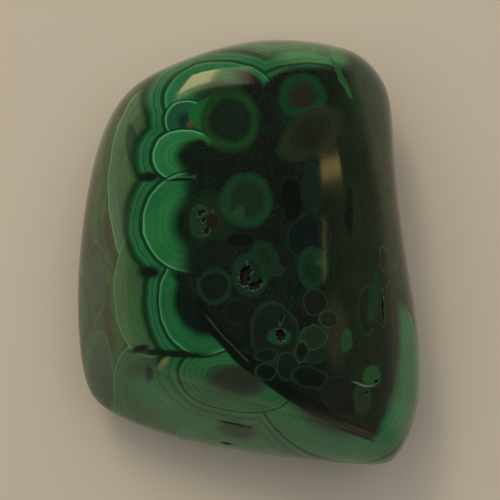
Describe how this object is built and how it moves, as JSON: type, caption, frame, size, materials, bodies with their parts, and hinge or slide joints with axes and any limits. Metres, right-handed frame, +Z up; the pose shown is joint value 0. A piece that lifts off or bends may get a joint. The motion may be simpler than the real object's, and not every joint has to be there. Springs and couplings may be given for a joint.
{
  "type": "malachite specimen",
  "caption": "Palm-size freeform of tumbled and polished banded green malachite that lies on its underside, for display, handling or set dressing.",
  "frame": {"origin": "centre of the stone's box in X and Y, on the plane of the flat that it rests on", "axes": "+Z up out of the polished top face, +Y along the stone's length to its rounded head, +X to the side with the shallow hollow"},
  "size_m": [0.0482, 0.0594, 0.025],
  "materials": {
    "polished_malachite": "polished, banded in light and dark green round dark eyes"
  },
  "bodies": {
    "root": {"malachite_stone": "polished_malachite"}
  },
  "joints": []
}
